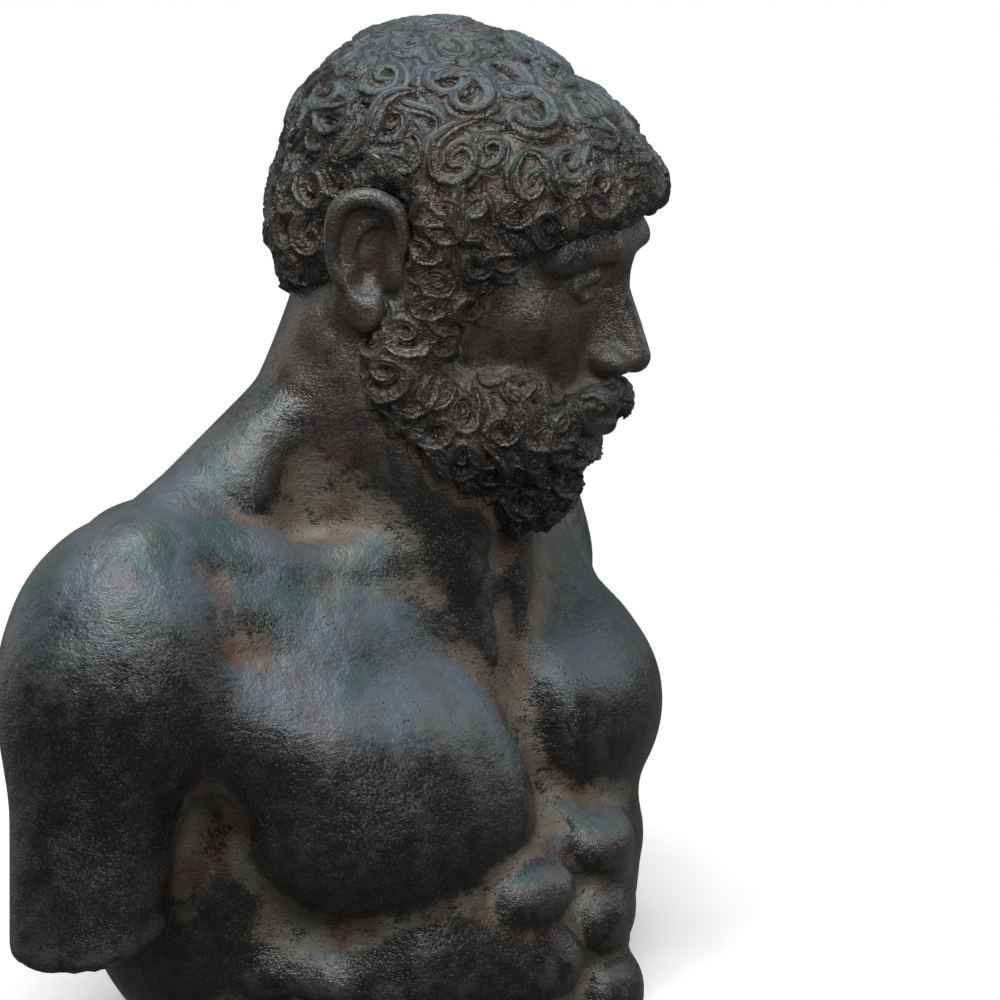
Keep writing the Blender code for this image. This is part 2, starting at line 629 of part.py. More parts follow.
def bronze():
    material = bpy.data.materials.new("dark_bronze")
    material.use_nodes = True
    shader = material.node_tree.nodes["Principled BSDF"]
    shader.inputs["Base Color"].default_value = BRONZE_COLOUR
    shader.inputs["Roughness"].default_value = BRONZE_ROUGHNESS
    shader.inputs["Metallic"].default_value = BRONZE_METALLIC
    return material


def main():
    for thing in list(bpy.data.objects):
        bpy.data.objects.remove(thing, do_unlink=True)
    mesh = surface_mesh()
    refine_head(mesh)
    carve(mesh)
    mesh = simplified(mesh)
    cut_flat_below(mesh)
    mesh.name = "bust"
    to_origin = Matrix.Translation((0, -UNDERSIDE_MIDDLE_Y, -UNDERSIDE_Z))
    mesh.transform(Matrix.Scale(HEAD_HEIGHT, 4) @ to_origin)
    mesh.materials.append(bronze())
    mesh.shade_smooth()
    mesh.set_sharp_from_angle(angle=math.radians(60))
    statuette = bpy.data.collections.new("bust_statuette")
    bpy.context.scene.collection.children.link(statuette)
    statuette.objects.link(bpy.data.objects.new("bust", mesh))


main()
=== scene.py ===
# The bronze bust as the photograph shows it. The clay forms of part.py are repeated on a finer mesh whose
# locks have strands, and that one mesh stands for the CAD node. Places and radii are shares of the head's
# height, in a frame whose origin is the pit of the neck. The figure faces -Y, its left is +X and up is +Z.

import math
from types import SimpleNamespace

import bmesh
import bpy
import numpy as np
import openvdb
from mathutils import Matrix, Vector


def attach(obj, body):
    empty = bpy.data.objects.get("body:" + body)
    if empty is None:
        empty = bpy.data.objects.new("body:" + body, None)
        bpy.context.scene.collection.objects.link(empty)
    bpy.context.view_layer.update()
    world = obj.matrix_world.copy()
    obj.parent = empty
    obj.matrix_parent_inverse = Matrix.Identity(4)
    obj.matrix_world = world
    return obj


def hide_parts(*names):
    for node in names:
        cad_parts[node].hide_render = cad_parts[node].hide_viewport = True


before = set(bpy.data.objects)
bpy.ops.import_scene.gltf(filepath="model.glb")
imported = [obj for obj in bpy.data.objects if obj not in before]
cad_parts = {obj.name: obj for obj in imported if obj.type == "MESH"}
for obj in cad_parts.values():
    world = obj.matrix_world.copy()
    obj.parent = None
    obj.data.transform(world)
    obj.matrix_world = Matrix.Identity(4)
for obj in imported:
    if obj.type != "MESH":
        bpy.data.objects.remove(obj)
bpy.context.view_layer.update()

# The driving size, in metres: chin to crown of the skull, without hair and beard
HEAD_HEIGHT = 0.115

# Extent and pose, as shares of the head's height and in degrees
DEPTH_BELOW_NECK = 1.10
SHOULDER_REACH = 0.84
BACK_REACH = 0.74
UNDERSIDE_Z = -DEPTH_BELOW_NECK
UNDERSIDE_MIDDLE_Y = 0.22
FIELD_TOP_Z = 1.48
FIELD_HALF_WIDTH = SHOULDER_REACH + 0.52
FIELD_FRONT_Y = -0.62
FIELD_BACK_Y = BACK_REACH + 0.34
HEAD_MIDDLE = (0.03, 0.065, 0.785)
HEAD_BOW = 12
HEAD_TURN = 15
EAR_MIDDLE = (0.335, 0.105, -0.008)
EAR_SCALE = 1.14
ARM_END_Z = -0.78
ARM_END_SLOPE = 0.25
ARM_INNER_X = SHOULDER_REACH - 0.10

# His left side is drawn up and back with the arm: the breast, the belly and the shoulder
LEFT_BREAST_RISE = 0.17
LEFT_BELLY_RISE = 0.055
LEFT_SHOULDER_BACK = 0.07

# Fineness of the mesh: the side of a cell, and the cuts across each edge on the head
CELL = 0.0222
HEAD_CUTS = 2

# Lower end of the head in its own frame: level at the nape, and from NAPE_FRONT_Y forward it slopes down
# to the end of the beard
NAPE_Z = -0.36
NAPE_FRONT_Y = -0.05
BEARD_END_Z = -0.75

# Where the locks are planted, and the radius of a curl at the sides and at the crown
SEED = 11
ROOT_TRIES = 9000
ROOT_SPACING = 1.22
CURL_RADIUS = 0.050
CROWN_CURL_RADIUS = 0.066
WHORL = (0.0, 0.20, 0.52)

# Form of a lock: its rise over its half width, how much of that is lost at the crown, how round its back
# is, how much higher its outer edge is, and how often and how deep its strands are cut
LOCK_RELIEF = 1.15
CROWN_FLATNESS = 0.35
RIDGE_ROUNDNESS = 1.5
OUTER_RISE = 0.55
STRANDS = 3.2
STRAND_DEPTH = 0.22

# Share of the places that carry a lock in each layer, and how much of it the crown goes without
LAYER_SHARES = (1.0, 0.9, 0.16)
CROWN_CALM = (0.0, 0.45, -1.0)

# Half width and relief of the long locks, in the layer below the curls and in the one over them
WAVE_FORMS = {0: (0.42, 0.6), 2: (0.28, 1.0)}

# Edge of the hair: how far a high lock reaches over the skin, between which distances it dies out, the
# least rise that counts as a lock, and the mark of the hair between locks
HAIR_OVERLAP = 0.034
HAIR_EDGE = (-0.008, 0.010)
LEAST_LIFT = 0.002
BETWEEN_LOCKS = 0.05

# Recesses that the patina goes by: name, rounds of smoothing and the depth that counts as 1
RECESSES = (("groove", 6, 0.004), ("hollow", 120, 0.02))

# Distance given to a point that no form is near, and the step that gradients are taken over
FAR = 0.6
STEP = 0.003

# Half sizes of the cubes that hold the head with its hair and one ear, about their middles
HEAD_REACH = 0.9
EAR_REACH = 0.35

# Camera and light: the photograph's direction, the width of the picture and the point at its middle
CAMERA_AZIMUTH = -57
CAMERA_ELEVATION = 12
PICTURE_WIDTH = 0.277
AIM = Vector((0.00646, -0.0284, 0.1441))
_TURN = math.radians(CAMERA_AZIMUTH)
_RISE = math.tan(math.radians(CAMERA_ELEVATION))
SCREEN_RIGHT = Vector((math.cos(_TURN), math.sin(_TURN), 0))
TOWARD_CAMERA = Vector((math.sin(_TURN), -math.cos(_TURN), _RISE)).normalized()
FILL_STRENGTH = 0.125
FLOOR_RADIUS = 0.5
FLOOR_GLOW = 0.3

# Lamps: name, place from the aim point as (right, up, toward the camera), size in metres and watts
SOFTBOXES = (
    ("top", (-0.15, 1.00, 0.40), 0.70, 15.0),
    ("front_left", (-0.50, 0.60, 0.9), 0.20, 2.0),
    ("front_right", (0.50, 0.40, 0.9), 0.30, 3.6),
    ("left_edge", (-1.0, 0.30, -0.7), 0.9, 1.3),
    ("right_edge", (1.0, 0.50, -0.5), 0.7, 2.0),
)

# Colours of the patina, and last a near-black painted shade
CHARCOAL = (0.0060, 0.0065, 0.0080, 1.0)
BROWN_BLACK = (0.0095, 0.0082, 0.0065, 1.0)
BLOOM = (0.090, 0.114, 0.130, 1.0)
GREEN = (0.038, 0.076, 0.074, 1.0)
VIOLET = (0.080, 0.078, 0.086, 1.0)
OLIVE = (0.096, 0.096, 0.074, 1.0)
TAN = (0.140, 0.128, 0.102, 1.0)
RUST = (0.092, 0.048, 0.034, 1.0)
RUBBED = (0.092, 0.088, 0.080, 1.0)
SPECK = (0.088, 0.086, 0.078, 1.0)
FILM = (0.104, 0.086, 0.075, 1.0)
# Painted shade: the near-black put in the hair's deepest grooves and inside the pinholes
DEEP_SHADE = (0.004, 0.0035, 0.003, 1.0)

# Scales of the material's noises, in waves a metre
PATCH_SCALE = 22.0
BLOTCH_SCALE = 130.0
GRAIN_SCALE = 1250.0
FINE_SCALE = 2100.0
WRINKLE_SCALE = 1150.0
GREEN_SCALE = 48.0
OLIVE_SCALE = 40.0
VIOLET_SCALE = 70.0
RUST_SCALE = 75.0
CHISEL_SCALE = 420.0
PINHOLE_SCALE = 820.0

# Heights above the floor between which the patina changes, in metres
BREAST_HEIGHTS = (0.04, 0.11)
NECK_HEIGHTS = (0.14, 0.19)
COLLAR_HEIGHTS = (0.155, 0.180)
TEMPLE_HEIGHTS = (0.21, 0.25)
CROWN_HEIGHTS = (0.235, 0.270)

# Sums of the bloom's causes at which it starts and is full, and the roughness of clean and of dull metal
BLOOM_STARTS_AND_FILLS = (4.12, 5.65)
GLOSSY_AND_DULL = (0.17, 0.55)

# Light lines along a lock, over its half width, and the depth of the material's relief in metres
STRAND_LINES = 1.5
BUMP_DISTANCE = 0.00025


def smooth_union(a, b, blend):
    overlap = np.maximum(blend - np.abs(a - b), 0) / blend
    return np.minimum(a, b) - overlap * overlap * blend / 4


def smooth_cut(a, b, blend):
    overlap = np.maximum(blend - np.abs(a + b), 0) / blend
    return np.maximum(a, -b) + overlap * overlap * blend / 4


def smooth_step(low, high, value):
    t = np.clip((value - low) / (high - low), 0, 1)
    return t * t * (3 - 2 * t)


def rotation(tilt):
    """3x3 matrix for turns about X, then Y, then Z, in degrees."""
    x, y, z = (math.radians(degrees) for degrees in tilt)
    matrix = Matrix.Rotation(z, 3, "Z") @ Matrix.Rotation(y, 3, "Y") @ Matrix.Rotation(x, 3, "X")
    return np.array(matrix, np.float32)


HEAD_AXES = rotation((HEAD_BOW, 0, HEAD_TURN))


def to_head(points):
    return (points - np.array(HEAD_MIDDLE, np.float32)) @ HEAD_AXES


def rounded(path, radii, parts=4):
    """The path and its radii with more points, on a smooth curve through those given."""
    rows = np.hstack([np.array(path), np.array(radii)[:, None]])
    rows = np.vstack([2 * rows[0] - rows[1], rows, 2 * rows[-1] - rows[-2]])
    curve = [rows[1]]
    for before, start, end, after in zip(rows, rows[1:], rows[2:], rows[3:]):
        for k in range(1, parts + 1):
            t = k / parts
            turn = (end - before) * t + (2 * before - 5 * start + 4 * end - after) * t ** 2
            curve.append(start + (turn + (3 * start - before - 3 * end + after) * t ** 3) / 2)
    curve = np.array(curve)
    return curve[:, :3], curve[:, 3].tolist()


def on_side(point, side):
    """The same place on the figure's left (side 1) or right (side -1)."""
    return (point[0] * side, point[1], point[2])


class Clay:
    """Distance from each of the points to forms that are pressed together."""

    def __init__(self, points):
        self.points = points
        self.distance = np.full(len(points), FAR, np.float32)

    def rows_near(self, low, high):
        inside = np.ones(len(self.points), bool)
        for axis in range(3):
            column = self.points[:, axis]
            inside &= (column > low[axis]) & (column < high[axis])
        return np.flatnonzero(inside)

    def join(self, rows, distance, blend, cut):
        combine = smooth_cut if cut else smooth_union
        self.distance[rows] = combine(self.distance[rows], distance, blend)

    def ball(self, at, radii, tilt=(0, 0, 0), blend=0.05, cut=False):
        at = np.array(at, np.float32)
        radii = np.array(radii, np.float32) * np.ones(3, np.float32)
        reach = max(radii) + blend + 0.1
        rows = self.rows_near(at - reach, at + reach)
        scaled = ((self.points[rows] - at) @ rotation(tilt)) / radii
        size = np.sqrt((scaled * scaled).sum(1)) + 1e-6
        slope = np.sqrt(((scaled / radii) ** 2).sum(1)) + 1e-6
        self.join(rows, size * (size - 1) / slope, blend, cut)

    def limb(self, path, radii, blend=0.05, cut=False):
        path = [np.array(point, np.float32) for point in path]
        radii = list(radii) if isinstance(radii, (list, tuple)) else [radii] * len(path)
        reach = max(radii) + blend + 0.1
        rows = self.rows_near(np.min(path, axis=0) - reach, np.max(path, axis=0) + reach)
        points = self.points[rows]
        distance = np.full(len(points), FAR, np.float32)
        for start, end, first, last in zip(path, path[1:], radii, radii[1:]):
            along = end - start
            t = np.clip(((points - start) @ along) / (along @ along), 0, 1)
            off = points - start - t[:, None] * along
            distance = np.minimum(distance, np.sqrt((off * off).sum(1)) - first - t * (last - first))
        self.join(rows, distance, blend, cut)


def trunk(clay):
    """Ribcage, belly and the column of the neck."""
    clay.ball((0, 0.38, -0.47), (0.66, 0.46, 0.86), (-12, 0, 0), 0.10)
    clay.ball((0, 0.14, -1.02), (0.55, 0.41, 0.62), blend=0.12)
    clay.ball((0, 0.27, -1.05), (0.62, 0.36, 0.60), blend=0.10)
    clay.limb([(0, 0.25, -0.10), (0, 0.15, 0.60)], [0.34, 0.29], 0.12)


def back(clay, side):
    """Trapezius, shoulder blade, broad back muscle and the muscle beside the spine."""
    slope = ((0.10, 0.235, 0.62), (0.24, 0.305, 0.36), (0.50, 0.44, 0.15),
             (SHOULDER_REACH - 0.04, 0.46, 0.06))
    clay.limb([on_side(point, side) for point in slope], [0.17, 0.17, 0.15, 0.13], 0.12)
    clay.ball(on_side((0.40, BACK_REACH, -0.22), side), (0.30, 0.17, 0.36), blend=0.10)
    clay.ball(on_side((0.56, 0.45, -0.58), side), (0.22, 0.34, 0.54), blend=0.10)
    beside_spine = ((0.17, BACK_REACH - 0.04, -0.30), (0.17, BACK_REACH - 0.16, UNDERSIDE_Z - 0.15))
    clay.limb([on_side(point, side) for point in beside_spine], [0.15, 0.16], 0.10)


def arm(clay, side):
    """Shoulder muscle and the stump of the upper arm."""
    drawn = LEFT_SHOULDER_BACK if side > 0 else 0.0
    middle = on_side((SHOULDER_REACH, 0.46 + drawn, -0.17), side)
    clay.ball(middle, (0.255, 0.28, 0.37), (0, -8 * side, 0), 0.06)
    upper = on_side((SHOULDER_REACH + 0.06, 0.47 + drawn, -0.20), side)
    lower = on_side((SHOULDER_REACH + 0.13, 0.46 + drawn, ARM_END_Z - 0.22), side)
    clay.limb([upper, lower], [0.20, 0.18], 0.08)


def chest(clay, side):
    """Breast muscle in four masses, collar bone, nipple and the long muscle at the side of the neck."""
    rise = LEFT_BREAST_RISE if side > 0 else 0.0
    clay.ball(on_side((0.46, 0.16, -0.19), side), (0.33, 0.16, 0.26), (-22, 0, 26 * side), 0.10)
    main_at = on_side((0.35, 0.06 - 0.1 * rise, -0.48 + 0.55 * rise), side)
    clay.ball(main_at, (0.39, 0.265, 0.33), (-10 - 115 * rise, 0, 14 * side), 0.06)
    low_at = on_side((0.32, -0.015 - 0.15 * rise, -0.575 + rise), side)
    clay.ball(low_at, (0.33, 0.22, 0.235), (-4, 0, 12 * side), 0.05)
    clay.ball(on_side((0.165, -0.10, -0.56 + rise), side), (0.125, 0.12, 0.16), blend=0.08)
    to_arm = ((0.55, 0.14, -0.36), (SHOULDER_REACH, 0.38, -0.20))
    clay.limb([on_side(point, side) for point in to_arm], [0.20, 0.13], 0.07)
    clay.ball(on_side((0.60, 0.30, -0.02), side), (0.15, 0.12, 0.11), (0, 0, 30 * side), 0.10)
    collar = ((0.07, 0.04, 0.0), (0.30, 0.11, 0.05), (0.56, 0.26, 0.10),
              (SHOULDER_REACH - 0.04, 0.40, 0.13))
    clay.limb([on_side(point, side) for point in collar], [0.04, 0.04, 0.045, 0.055], 0.09)
    clay.ball(on_side((0.42, 0.19, 0.24), side), (0.05, 0.06, 0.10), blend=0.12, cut=True)
    neck = ((0.24, 0.24, 0.60), (0.21, 0.06, 0.30), (0.09, 0.035, 0.03))
    clay.limb([on_side(point, side) for point in neck], [0.10, 0.095, 0.045], 0.05)
    nipple_at = on_side((0.50, -0.155, -0.49 + 0.8 * rise), side)
    clay.ball(nipple_at, (0.03, 0.010, 0.03), (0, 0, 30 * side), 0.03)


def belly(clay, side):
    """Upper belly, rim of the ribs, blocks of the straight muscle and the toothed muscle over the ribs."""
    rise = LEFT_BELLY_RISE if side > 0 else 0.0
    clay.ball(on_side((0.19, -0.03, -0.88 + 2.5 * rise), side), (0.37, 0.235, 0.26), blend=0.07)
    rim = ((0.03, -0.21, -0.68), (0.20, -0.22, -0.80), (0.38, -0.14, -0.94), (0.52, 0.0, -1.15))
    clay.limb([on_side((x, y, z + rise), side) for x, y, z in rim], [0.05, 0.055, 0.06, 0.06], 0.06)
    blocks = ((-0.745, 0.12, 0.07, -0.26), (-0.925, 0.15, 0.095, -0.265), (-1.125, 0.15, 0.11, -0.29))
    for middle_z, half_width, half_height, forward in blocks:
        at = on_side((0.155, forward, middle_z + rise), side)
        clay.ball(at, (half_width, 0.07, half_height), (-4, 0, 16 * side), 0.06)
    for row_z in (-0.87, -1.04):
        for across, deep in ((0.61, 0.19), (0.55, 0.06), (0.44, -0.03)):
            at = on_side((across, deep, row_z - 0.25 * (0.62 - across) + rise), side)
            clay.ball(at, (0.07, 0.10, 0.055), (20, 16 * side, 40 * side), 0.09)


def hollows(clay):
    """Pit of the neck, channel of the breast bone, line of the belly and furrow of the spine."""
    clay.ball((0, -0.11, 0.04), (0.05, 0.045, 0.055), blend=0.10, cut=True)
    breast_bone = ((0, -0.10, -0.10), (0, -0.165, -0.30), (0, -0.25, -0.60))
    clay.limb(breast_bone, [0.035, 0.03, 0.02], 0.07, cut=True)
    clay.limb([(0, -0.36, -0.70), (0, -0.365, UNDERSIDE_Z - 0.1)], 0.022, 0.06, cut=True)
    spine = ((0, BACK_REACH + 0.26, 0.10), (0, BACK_REACH + 0.21, -0.40),
             (0, BACK_REACH + 0.08, UNDERSIDE_Z - 0.1))
    clay.limb(spine, [0.10, 0.10, 0.09], 0.16, cut=True)


def torso(points):
    clay = Clay(points)
    trunk(clay)
    for side in (-1, 1):
        back(clay, side)
        arm(clay, side)
        chest(clay, side)
        belly(clay, side)
    hollows(clay)
    return clay.distance


def eye(clay, side):
    """Brow, socket, eyeball and both lids."""
    brow = ((0.02, -0.375, 0.075), (0.11, -0.385, 0.095), (0.21, -0.31, 0.065))
    clay.limb([on_side(point, side) for point in brow], [0.032, 0.038, 0.034], 0.05)
    clay.ball(on_side((0.122, -0.43, 0.0), side), (0.085, 0.075, 0.052), blend=0.045, cut=True)
    clay.ball(on_side((0.125, -0.305, -0.003), side), 0.062, blend=0.012)
    upper = ((0.062, -0.352, -0.006), (0.095, -0.372, 0.022), (0.13, -0.373, 0.026),
             (0.175, -0.345, 0.002))
    clay.limb([on_side(point, side) for point in upper], [0.011, 0.013, 0.014, 0.012], 0.01)
    lower = ((0.062, -0.352, -0.012), (0.10, -0.366, -0.030), (0.14, -0.362, -0.030),
             (0.178, -0.342, -0.008))
    clay.limb([on_side(point, side) for point in lower], [0.009, 0.011, 0.011, 0.009], 0.012)


def nose(clay):
    clay.limb([(0, -0.34, 0.06), (0, -0.37, -0.08), (0, -0.40, -0.17)], [0.04, 0.055, 0.062], 0.04)
    ridge = [(0, -0.375, 0.06), (0, -0.40, -0.02), (0, -0.445, -0.10), (0, -0.475, -0.165)]
    clay.limb(ridge, [0.034, 0.030, 0.034, 0.040], 0.03)
    for side in (-1, 1):
        clay.ball(on_side((0.048, -0.435, -0.183), side), (0.036, 0.048, 0.032), blend=0.025)
        clay.ball(on_side((0.026, -0.455, -0.213), side), (0.014, 0.024, 0.012), blend=0.012, cut=True)


def mouth(clay):
    clay.ball((0, -0.40, -0.31), (0.12, 0.055, 0.07), blend=0.05)
    upper_lip = ((-0.085, -0.41, -0.30), (0, -0.445, -0.297), (0.085, -0.41, -0.30))
    clay.limb(upper_lip, [0.016, 0.026, 0.016], 0.02)
    lower_lip = ((-0.075, -0.405, -0.335), (0, -0.44, -0.342), (0.075, -0.405, -0.335))
    clay.limb(lower_lip, [0.018, 0.028, 0.018], 0.02)
    clay.limb([(-0.10, -0.43, -0.318), (0, -0.475, -0.318), (0.10, -0.43, -0.318)], 0.007, 0.014, cut=True)


def face(points):
    """The head without its hair, in the head's own frame: chin at -0.5, crown at 0.5."""
    clay = Clay(points)
    clay.ball((0, 0.04, 0.12), (0.325, 0.39, 0.345))
    clay.ball((0, -0.15, -0.16), (0.25, 0.23, 0.33), blend=0.10)
    clay.ball((0, -0.10, -0.30), (0.235, 0.22, 0.17), blend=0.08)
    clay.ball((0, -0.24, 0.15), (0.24, 0.16, 0.20), blend=0.08)
    clay.ball((0, -0.33, -0.43), (0.10, 0.09, 0.09), blend=0.06)
    for side in (-1, 1):
        clay.ball(on_side((0.165, -0.25, -0.095), side), (0.085, 0.07, 0.06), blend=0.10)
        eye(clay, side)
    nose(clay)
    mouth(clay)
    return clay.distance


def ear(points, side):
    """One ear about its own middle: shell, rim, lobe, back, and the hollows inside the rim."""
    clay = Clay(points)
    clay.ball(on_side((-0.03, 0.0, -0.03), side), (0.045, 0.075, 0.13), (14, 0, -18 * side), 0.03)
    rim = ((0.015, -0.05, -0.015), (0.020, -0.065, 0.04), (0.033, -0.04, 0.102), (0.050, 0.02, 0.118),
           (0.063, 0.07, 0.085), (0.060, 0.073, 0.02), (0.043, 0.05, -0.05), (0.027, 0.01, -0.105))
    thickness = [0.014, 0.017, 0.019, 0.021, 0.021, 0.019, 0.017, 0.02]
    clay.limb(*rounded([on_side(point, side) for point in rim], thickness), 0.018)
    clay.ball(on_side((0.017, -0.015, -0.125), side), (0.026, 0.035, 0.045), (14, 0, 0), 0.03)
    clay.ball(on_side((0.010, 0.012, 0.020), side), (0.034, 0.082, 0.112), (14, 0, -22 * side), 0.02)
    clay.ball(on_side((-0.025, -0.01, 0.015), side), (0.05, 0.10, 0.12), (14, 0, -18 * side), 0.02)
    shell_at = on_side((0.050, 0.01, 0.02), side)
    clay.ball(shell_at, (0.045, 0.045, 0.065), (14, 0, -18 * side), 0.025, cut=True)
    clay.ball(on_side((0.037, -0.01, -0.035), side), (0.04, 0.032, 0.045), (14, 0, 0), 0.02, cut=True)
    fold = ((0.017, 0.03, -0.065), (0.027, 0.043, -0.01), (0.027, 0.03, 0.045), (0.017, -0.01, 0.075))
    clay.limb(*rounded([on_side(point, side) for point in fold], [0.013, 0.015, 0.014, 0.01]), 0.018)
    clay.ball(on_side((0.002, -0.058, -0.030), side), (0.028, 0.024, 0.038), blend=0.02)
    return clay.distance


def ears(points):
    distance = np.full(len(points), FAR, np.float32)
    for side in (-1, 1):
        off = points - np.array(on_side(EAR_MIDDLE, side), np.float32)
        rows = np.flatnonzero((np.abs(off) < EAR_REACH).all(1))
        near = ear(off[rows] / EAR_SCALE, side) * EAR_SCALE
        distance[rows] = np.minimum(distance[rows], near)
    return distance


def hair(points):
    """The mass of the hair and the beard in the head's own frame, open round the ears and the face."""
    clay = Clay(points)
    clay.ball((0, 0.05, 0.105), (0.367, 0.397, 0.355))
    clay.ball((0, 0.13, 0.205), (0.30, 0.26, 0.255), blend=0.10)
    clay.ball((0, -0.17, 0.20), (0.30, 0.26, 0.165), blend=0.13)
    clay.ball((0, 0.265, -0.035), (0.29, 0.168, 0.205), blend=0.08)
    clay.ball((0, -0.255, -0.45), (0.15, 0.13, 0.14), blend=0.06)
    clay.ball((0, -0.34, -0.42), (0.11, 0.075, 0.06), blend=0.05)
    for side in (-1, 1):
        jaw = ((0.27, -0.05, 0.10), (0.27, -0.02, -0.12), (0.262, -0.005, -0.27), (0.19, -0.11, -0.41),
               (0.0, -0.245, -0.52))
        clay.limb([on_side(point, side) for point in jaw], [0.09, 0.085, 0.105, 0.12, 0.115], 0.07)
        moustache = ((0.015, -0.435, -0.258), (0.075, -0.42, -0.278), (0.13, -0.36, -0.34),
                     (0.15, -0.29, -0.42))
        clay.limb([on_side(point, side) for point in moustache], [0.026, 0.032, 0.04, 0.06], 0.03)
        clay.ball(on_side((0.17, -0.225, -0.33), side), (0.10, 0.12, 0.13), blend=0.06)
        clay.ball(on_side((0.36, 0.10, -0.003), side), (0.075, 0.10, 0.17), (14, 0, 0), 0.04, cut=True)
    clay.ball((0, -0.47, 0.035), (0.42, 0.32, 0.145), blend=0.04, cut=True)
    clay.ball((0, -0.47, -0.09), (0.38, 0.32, 0.155), blend=0.04, cut=True)
    return clay.distance


def bare_head(points):
    return smooth_union(face(points), ears(points), 0.02)


def skin_and_hair(points):
    skin = torso(points)
    locks = np.full(len(points), FAR, np.float32)
    around = to_head(points)
    rows = np.flatnonzero((np.abs(around) < HEAD_REACH).all(1))
    near = np.ascontiguousarray(around[rows])
    locks[rows] = hair(near)
    skin[rows] = smooth_union(skin[rows], bare_head(near), 0.05)
    return skin, locks


def bust(points):
    """Distance to the whole bust before its locks are raised, with the arms cut short."""
    skin, locks = skin_and_hair(points)
    distance = smooth_union(skin, locks, 0.02)
    for side in (-1, 1):
        out = points[:, 0] * side
        above_end = points[:, 2] - ARM_END_Z + ARM_END_SLOPE * (out - 1.0)
        distance = smooth_cut(distance, np.maximum(above_end, ARM_INNER_X - out), 0.02)
    return distance


def directions(field, points):
    """Unit vectors that point away from the surface."""
    slope = np.empty((len(points), 3), np.float32)
    for axis in range(3):
        shift = np.zeros(3, np.float32)
        shift[axis] = STEP
        slope[:, axis] = field(points + shift) - field(points - shift)
    return slope / (np.linalg.norm(slope, axis=1, keepdims=True) + 1e-9)


def settled(points):
    """The points moved onto the surface of the bust."""
    for _ in range(2):
        points = points - directions(bust, points) * bust(points)[:, None] * 0.9
    return points


def lie_of_hair(point):
    """The way the hair lies: out from the whorl at the crown, and down and forward in the beard."""
    away = point - np.array(WHORL, np.float32)
    away /= np.linalg.norm(away) + 1e-6
    in_beard = np.clip((-0.05 - point[2]) / 0.15, 0, 1) * np.clip((0.1 - point[1]) / 0.1, 0, 1)
    return away * (1 - in_beard) + np.array((0.0, -0.5, -1.0), np.float32) * in_beard


def curl_radius(point):
    at_crown = np.clip((point[2] - 0.10) / 0.25, 0, 1)
    return CURL_RADIUS + (CROWN_CURL_RADIUS - CURL_RADIUS) * at_crown


def head_shell(points):
    return np.minimum(hair(points), bare_head(points))


def lock_roots(rng):
    """Places of the curls, spread evenly over the hair: rays from inside the head that meet it."""
    rays = rng.normal(size=(ROOT_TRIES, 3)).astype(np.float32)
    rays /= np.linalg.norm(rays, axis=1, keepdims=True)
    reach = np.full(ROOT_TRIES, HEAD_REACH, np.float32)
    for _ in range(40):
        reach -= np.clip(head_shell(rays * reach[:, None]), -0.05, 0.05) * 0.7
    spots = rays * reach[:, None]
    spots = spots[(hair(spots) < 0.012) & (np.abs(head_shell(spots)) < 0.01)]
    roots = np.empty((0, 3), np.float32)
    radii = []
    for spot in spots:
        radius = curl_radius(spot)
        if len(roots) and (np.linalg.norm(roots - spot, axis=1) < radius * ROOT_SPACING).any():
            continue
        roots = np.vstack([roots, spot])
        radii.append(radius)
    return roots, radii


def curl_path(radius, hand, turns, tail):
    """A lock seen from above, as rows of (along, across, half width): a tail that bends into a spiral."""
    steps = []
    for k in range(5):
        t = k / 5
        steps.append((-tail * (1 - t), 1.0 - 0.75 * (1 - t) ** 2, 0.10 + 0.34 * t))
    count = int(turns * 12)
    for k in range(count + 1):
        t = k / count
        angle = math.pi / 2 - t * turns * 2 * math.pi
        r = 1.0 - 0.78 * t ** 0.8
        steps.append((1.15 * r * math.cos(angle), r * math.sin(angle), 0.44 - 0.18 * t))
    return np.array(steps, np.float32) * radius * np.array((1, hand, 1), np.float32)


def wave_path(radius, hand, bend, width):
    """A long lock with an S bend, in the same rows as a curl."""
    steps = []
    for k in range(13):
        t = k / 12
        across = bend * math.sin(t * 2 * math.pi)
        steps.append((3.0 * (t - 0.5), across, 0.10 + width * math.sin(math.pi * t) ** 0.7))
    return np.array(steps, np.float32) * radius * np.array((1, hand, 1), np.float32)


def lift_of_lock(flat, path, level, relief, hand):
    """Height of one lock with its grooves over points in its own plane, and the place across it."""
    off = np.full(len(flat), 9.0, np.float32)
    side = np.zeros(len(flat), np.float32)
    width = np.full(len(flat), 1e-3, np.float32)
    for (ax, ay, aw), (bx, by, bw) in zip(path, path[1:]):
        dx, dy = bx - ax, by - ay
        t = np.clip(((flat[:, 0] - ax) * dx + (flat[:, 1] - ay) * dy) / (dx * dx + dy * dy), 0, 1)
        ox = flat[:, 0] - ax - t * dx
        oy = flat[:, 1] - ay - t * dy
        w = aw + t * (bw - aw)
        here = np.sqrt(ox * ox + oy * oy) / w
        nearer = here < off
        off[nearer] = here[nearer]
        side[nearer] = (np.sign(ox * dy - oy * dx) * here)[nearer]
        width[nearer] = w[nearer]
    back_of_lock = np.clip(1 - off ** RIDGE_ROUNDNESS, 0, 1)
    grooves = 0.5 + 0.5 * np.cos(side * math.pi * STRANDS)
    back_of_lock *= (1 + OUTER_RISE * side * hand) * (1 - STRAND_DEPTH * (1 - grooves))
    return np.where(off < 1, relief * width * back_of_lock + level, 0), side


